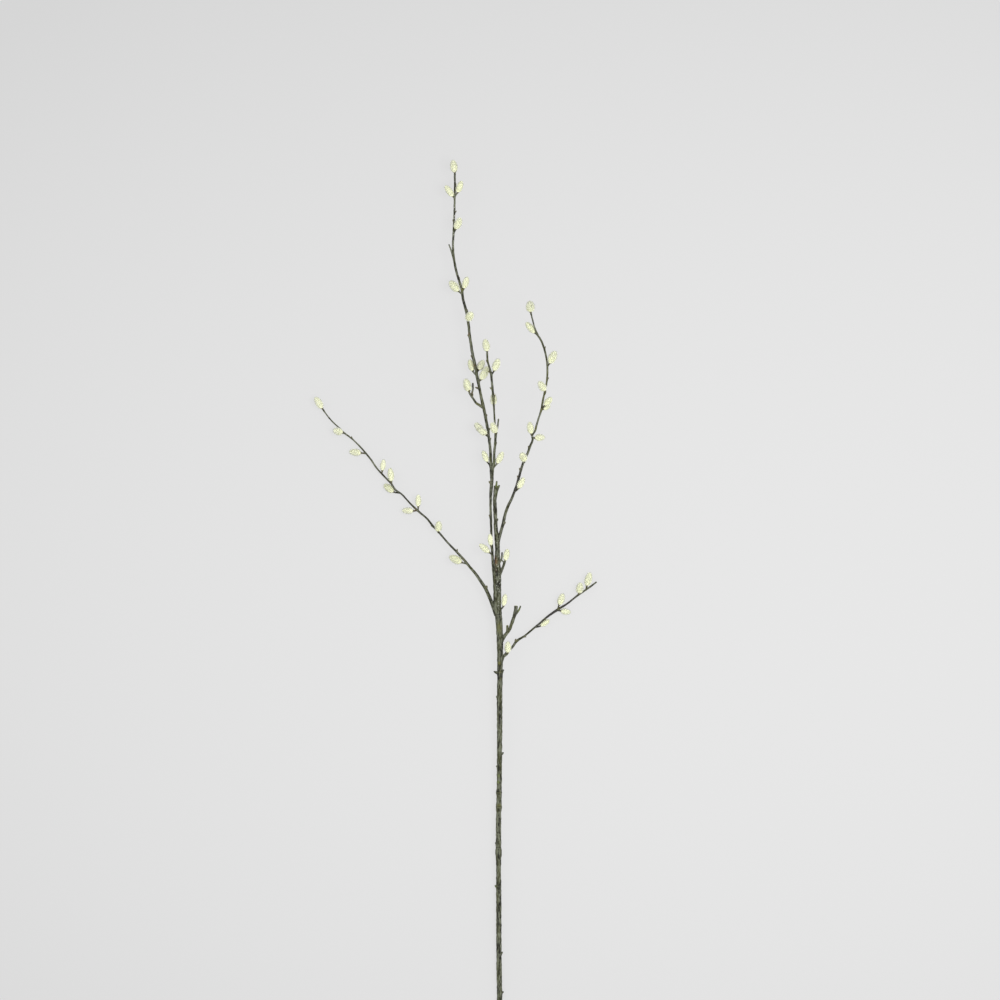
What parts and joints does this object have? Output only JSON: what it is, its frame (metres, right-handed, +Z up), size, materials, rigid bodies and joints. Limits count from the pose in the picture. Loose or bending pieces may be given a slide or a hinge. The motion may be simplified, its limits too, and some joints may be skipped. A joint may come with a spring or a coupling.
{
  "type": "willow twig",
  "caption": "Cut willow twig with a straight stem, branching side shoots and downy oval catkins, lying on a flat surface.",
  "frame": {"origin": "middle of the bounding box's bottom face, on the surface that the twig lies on", "axes": "+Y along the stem from the cut butt end towards the tips, +Z up from the surface, +X to the right seen from above with the tips at the top"},
  "size_m": [0.3534, 1.1, 0.0912],
  "materials": {
    "bark": "dull grey-green and olive-brown bark with fine ridges",
    "catkin": "soft pale yellow-green down"
  },
  "bodies": {
    "root": {"wood": "bark", "catkin_leader_1": "catkin", "catkin_leader_2": "catkin", "catkin_leader_3": "catkin", "catkin_leader_4": "catkin", "catkin_leader_5": "catkin", "catkin_leader_6": "catkin", "catkin_leader_7": "catkin", "catkin_leader_8": "catkin", "catkin_leader_9": "catkin", "catkin_leader_10": "catkin", "catkin_leader_11": "catkin", "catkin_leader_12": "catkin", "catkin_leader_13": "catkin", "catkin_leader_14": "catkin", "catkin_leader_15": "catkin", "catkin_spur_1": "catkin", "catkin_centre_1": "catkin", "catkin_centre_2": "catkin", "catkin_centre_3": "catkin", "catkin_centre_4": "catkin", "catkin_centre_5": "catkin", "catkin_right_1": "catkin", "catkin_right_2": "catkin", "catkin_right_3": "catkin", "catkin_right_4": "catkin", "catkin_right_5": "catkin", "catkin_right_6": "catkin", "catkin_right_7": "catkin", "catkin_right_8": "catkin", "catkin_right_9": "catkin", "catkin_right_10": "catkin", "catkin_left_1": "catkin", "catkin_left_2": "catkin", "catkin_left_3": "catkin", "catkin_left_4": "catkin", "catkin_left_5": "catkin", "catkin_left_6": "catkin", "catkin_left_7": "catkin", "catkin_left_8": "catkin", "catkin_left_9": "catkin", "catkin_left_10": "catkin", "catkin_fork_1": "catkin", "catkin_stem_1": "catkin", "catkin_low_1": "catkin", "catkin_low_2": "catkin", "catkin_low_3": "catkin", "catkin_low_4": "catkin", "catkin_low_5": "catkin", "catkin_low_6": "catkin"}
  },
  "joints": []
}
